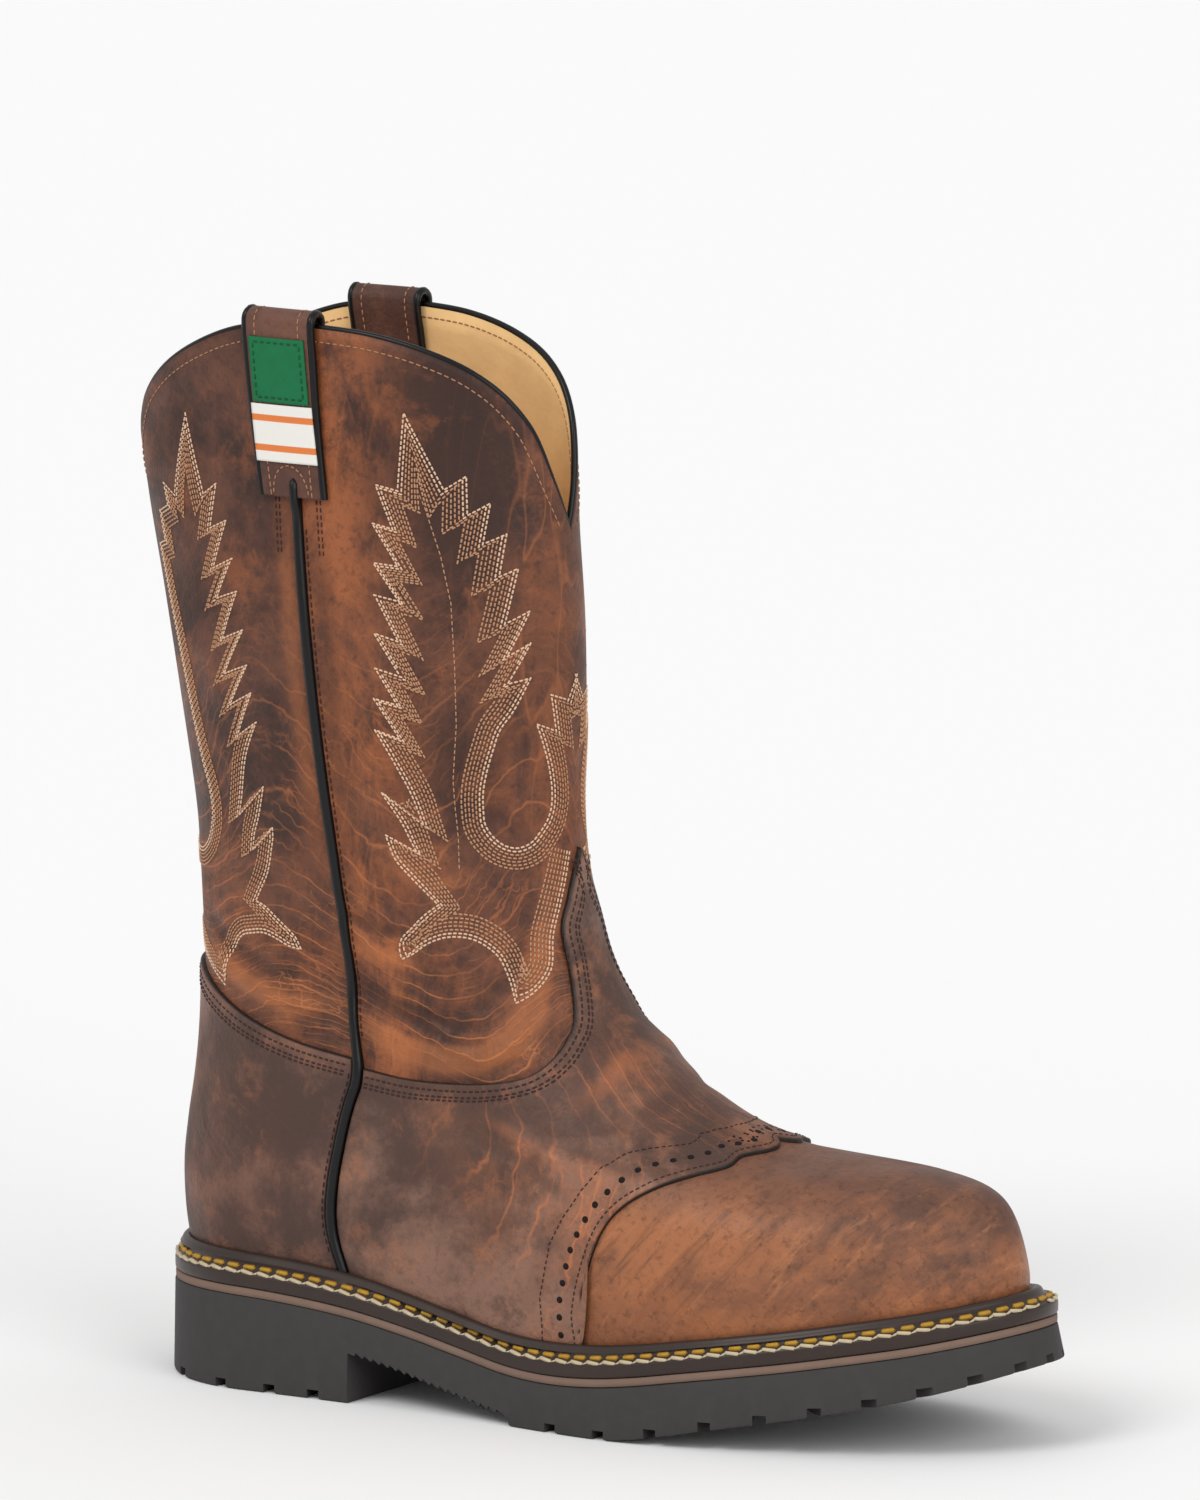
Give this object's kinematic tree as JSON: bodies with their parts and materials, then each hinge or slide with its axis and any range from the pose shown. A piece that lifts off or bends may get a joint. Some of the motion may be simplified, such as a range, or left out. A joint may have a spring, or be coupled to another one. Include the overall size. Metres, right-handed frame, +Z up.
{
  "type": "western work boot",
  "caption": "Western work boot, right shoe: round safety toe, stitched brown shaft with a scalloped collar, two pull straps, saddle vamp, welted block-heel rubber sole",
  "frame": {"origin": "on the floor, at the middle of the heel's tread", "axes": "+X to the toe, +Y to the inner (medial) side of the foot, +Z up"},
  "size_m": [0.3339, 0.1156, 0.3538],
  "materials": {
    "shaft_leather": "distressed, oiled",
    "vamp_leather": "distressed, oiled",
    "counter_leather": "distressed, oiled",
    "strap_leather": "satin",
    "piping_leather": "satin",
    "welt_leather": "satin",
    "midsole_leather": "matte",
    "sole_rubber": "matte",
    "footbed_fabric": "suede-like",
    "patch_fabric": "woven",
    "tag_fabric": "woven"
  },
  "bodies": {
    "root": {"outsole": "sole_rubber", "midsole": "midsole_leather", "welt": "welt_leather", "insole": "footbed_fabric", "upper": "shaft_leather", "vamp": "vamp_leather", "counter": "counter_leather", "side_piping_lateral": "piping_leather", "side_piping_medial": "piping_leather", "pull_strap_lateral": "strap_leather", "pull_strap_medial": "strap_leather", "strap_patch": "patch_fabric", "strap_tag": "tag_fabric", "collar_binding": "piping_leather"}
  },
  "joints": []
}
